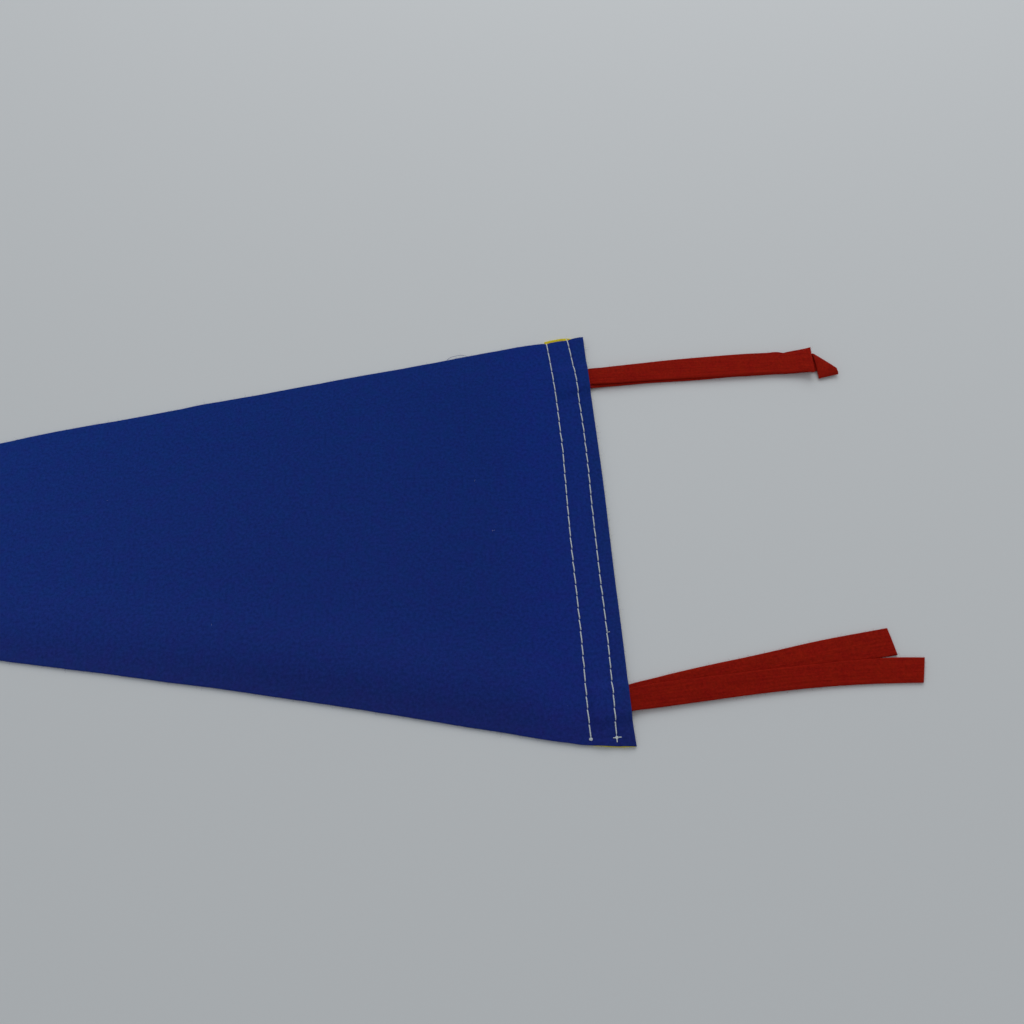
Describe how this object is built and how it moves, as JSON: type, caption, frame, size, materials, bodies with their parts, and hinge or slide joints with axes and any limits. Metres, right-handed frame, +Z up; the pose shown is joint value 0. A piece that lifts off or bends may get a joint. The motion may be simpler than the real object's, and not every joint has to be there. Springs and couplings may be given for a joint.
{
  "type": "pennant flag",
  "caption": "Long triangular cloth pennant with a stitched heading strip and folded cloth ties at the hoist, lying back side up.",
  "frame": {"origin": "on the surface the pennant lies on, under the middle of the heading strip", "axes": "+X from the point of the pennant to its ties, +Y along the hoist to the end with the turned-over tie, +Z up from the surface"},
  "size_m": [0.5021, 0.1539, 0.005],
  "materials": {
    "field_cloth": "matt blue cloth with a short nap and cut edges",
    "heading_cloth": "matt yellow cloth with a short nap and cut edges",
    "tie_cloth": "matt red cloth strip with faint lengthwise creases and cut edges",
    "thread": "white twisted sewing thread with a slight sheen"
  },
  "bodies": {
    "root": {"field": "field_cloth", "heading": "heading_cloth", "tie_top": "tie_cloth", "tie_bottom": "tie_cloth"}
  },
  "joints": []
}
